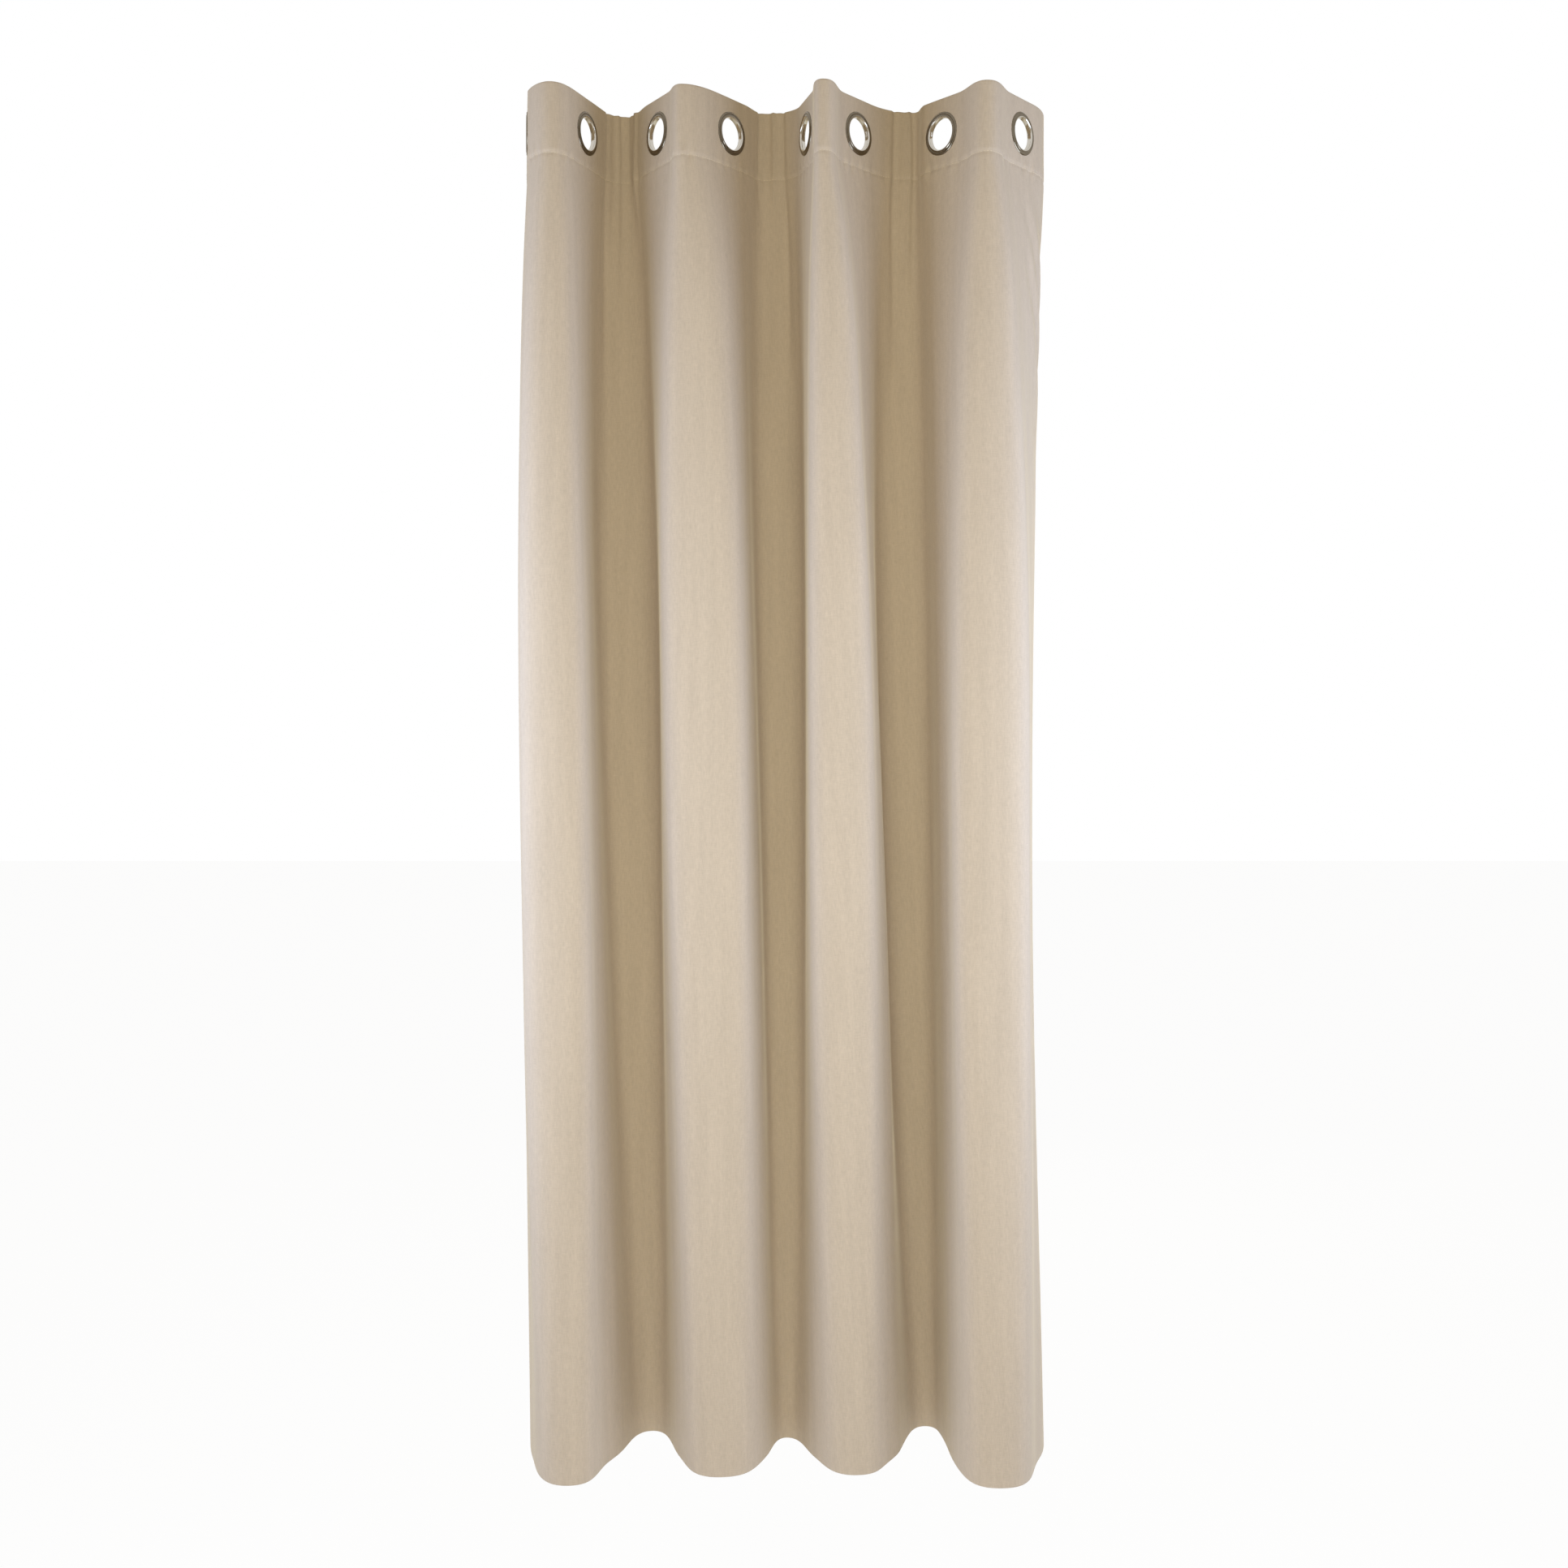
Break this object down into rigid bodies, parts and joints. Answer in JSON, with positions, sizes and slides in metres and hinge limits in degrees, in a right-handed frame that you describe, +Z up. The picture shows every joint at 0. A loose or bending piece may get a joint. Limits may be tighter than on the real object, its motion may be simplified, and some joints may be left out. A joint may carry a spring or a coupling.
{
  "type": "eyelet curtain panel",
  "caption": "Blackout curtain panel with a stiffened heading and metal eyelets, hung in soft upright folds that gather and spread along a pole.",
  "frame": {"origin": "on the centre line of the pole that the panel hangs on, half way along the hung panel to within 12 mm", "axes": "+X along the pole, to the right seen from the room; +Y towards the window; +Z up, along the cloth's drop"},
  "size_m": [0.6919, 0.1603, 1.75],
  "materials": {
    "cloth": "sand-coloured woven blackout cloth, fine weave with a soft sheen",
    "stiffener": "off-white buckram, inside the heading",
    "nickel": "polished nickel, warm reflections"
  },
  "bodies": {
    "left_edge": {"left_margin": "cloth", "left_margin_stiffener": "stiffener", "left_margin_facing": "cloth", "left_hem": "cloth"},
    "leaf_1": {"heading_1": "cloth", "panel_1": "cloth", "stiffener_1": "stiffener", "facing_1": "cloth", "bottom_hem_1": "cloth", "eyelet_front_1": "nickel", "eyelet_back_1": "nickel"},
    "leaf_2": {"heading_2": "cloth", "panel_2": "cloth", "stiffener_2": "stiffener", "facing_2": "cloth", "bottom_hem_2": "cloth", "eyelet_front_2": "nickel", "eyelet_back_2": "nickel"},
    "leaf_3": {"heading_3": "cloth", "panel_3": "cloth", "stiffener_3": "stiffener", "facing_3": "cloth", "bottom_hem_3": "cloth", "eyelet_front_3": "nickel", "eyelet_back_3": "nickel"},
    "leaf_4": {"heading_4": "cloth", "panel_4": "cloth", "stiffener_4": "stiffener", "facing_4": "cloth", "bottom_hem_4": "cloth", "eyelet_front_4": "nickel", "eyelet_back_4": "nickel"},
    "leaf_5": {"heading_5": "cloth", "panel_5": "cloth", "stiffener_5": "stiffener", "facing_5": "cloth", "bottom_hem_5": "cloth", "eyelet_front_5": "nickel", "eyelet_back_5": "nickel"},
    "leaf_6": {"heading_6": "cloth", "panel_6": "cloth", "stiffener_6": "stiffener", "facing_6": "cloth", "bottom_hem_6": "cloth", "eyelet_front_6": "nickel", "eyelet_back_6": "nickel"},
    "leaf_7": {"heading_7": "cloth", "panel_7": "cloth", "stiffener_7": "stiffener", "facing_7": "cloth", "bottom_hem_7": "cloth", "eyelet_front_7": "nickel", "eyelet_back_7": "nickel"},
    "leaf_8": {"heading_8": "cloth", "panel_8": "cloth", "stiffener_8": "stiffener", "facing_8": "cloth", "right_hem": "cloth", "eyelet_front_8": "nickel", "eyelet_back_8": "nickel"}
  },
  "joints": [
    {"name": "fold_1", "type": "hinge", "parent": "left_edge", "child": "leaf_1", "pos_m": [-0.33445, 0.02959, 0], "axis": [0, 0, 1], "range_deg": [-12.95, 6.7]},
    {"name": "fold_2", "type": "hinge", "parent": "leaf_1", "child": "leaf_2", "pos_m": [-0.29295, -0.07071, 0], "axis": [0, 0, 1], "range_deg": [-17.35, 33.66]},
    {"name": "fold_3", "type": "hinge", "parent": "leaf_2", "child": "leaf_3", "pos_m": [-0.21344, 0.0683, 0], "axis": [0, 0, 1], "range_deg": [-38.66, 19.95]},
    {"name": "fold_4", "type": "hinge", "parent": "leaf_3", "child": "leaf_4", "pos_m": [-0.12894, -0.06681, 0], "axis": [0, 0, 1], "range_deg": [-14.2, 27.5]},
    {"name": "fold_5", "type": "hinge", "parent": "leaf_4", "child": "leaf_5", "pos_m": [-0.02286, 0.06458, 0], "axis": [0, 0, 1], "range_deg": [-22.26, 11.5]},
    {"name": "fold_6", "type": "hinge", "parent": "leaf_5", "child": "leaf_6", "pos_m": [0.04847, -0.07326, 0], "axis": [0, 0, 1], "range_deg": [-9.95, 19.26]},
    {"name": "fold_7", "type": "hinge", "parent": "leaf_6", "child": "leaf_7", "pos_m": [0.16994, 0.06051, 0], "axis": [0, 0, 1], "range_deg": [-32.93, 17]},
    {"name": "fold_8", "type": "hinge", "parent": "leaf_7", "child": "leaf_8", "pos_m": [0.25363, -0.06516, 0], "axis": [0, 0, 1], "range_deg": [-28.15, 54.56]}
  ],
  "couplings": [
    {"joint": "fold_1", "follows": "fold_2", "ratio": -0.3833},
    {"joint": "fold_3", "follows": "fold_2", "ratio": -1.147},
    {"joint": "fold_4", "follows": "fold_2", "ratio": 0.8156},
    {"joint": "fold_5", "follows": "fold_2", "ratio": -0.6599},
    {"joint": "fold_6", "follows": "fold_2", "ratio": 0.5706},
    {"joint": "fold_7", "follows": "fold_2", "ratio": -0.9769},
    {"joint": "fold_8", "follows": "fold_2", "ratio": 1.6196}
  ]
}
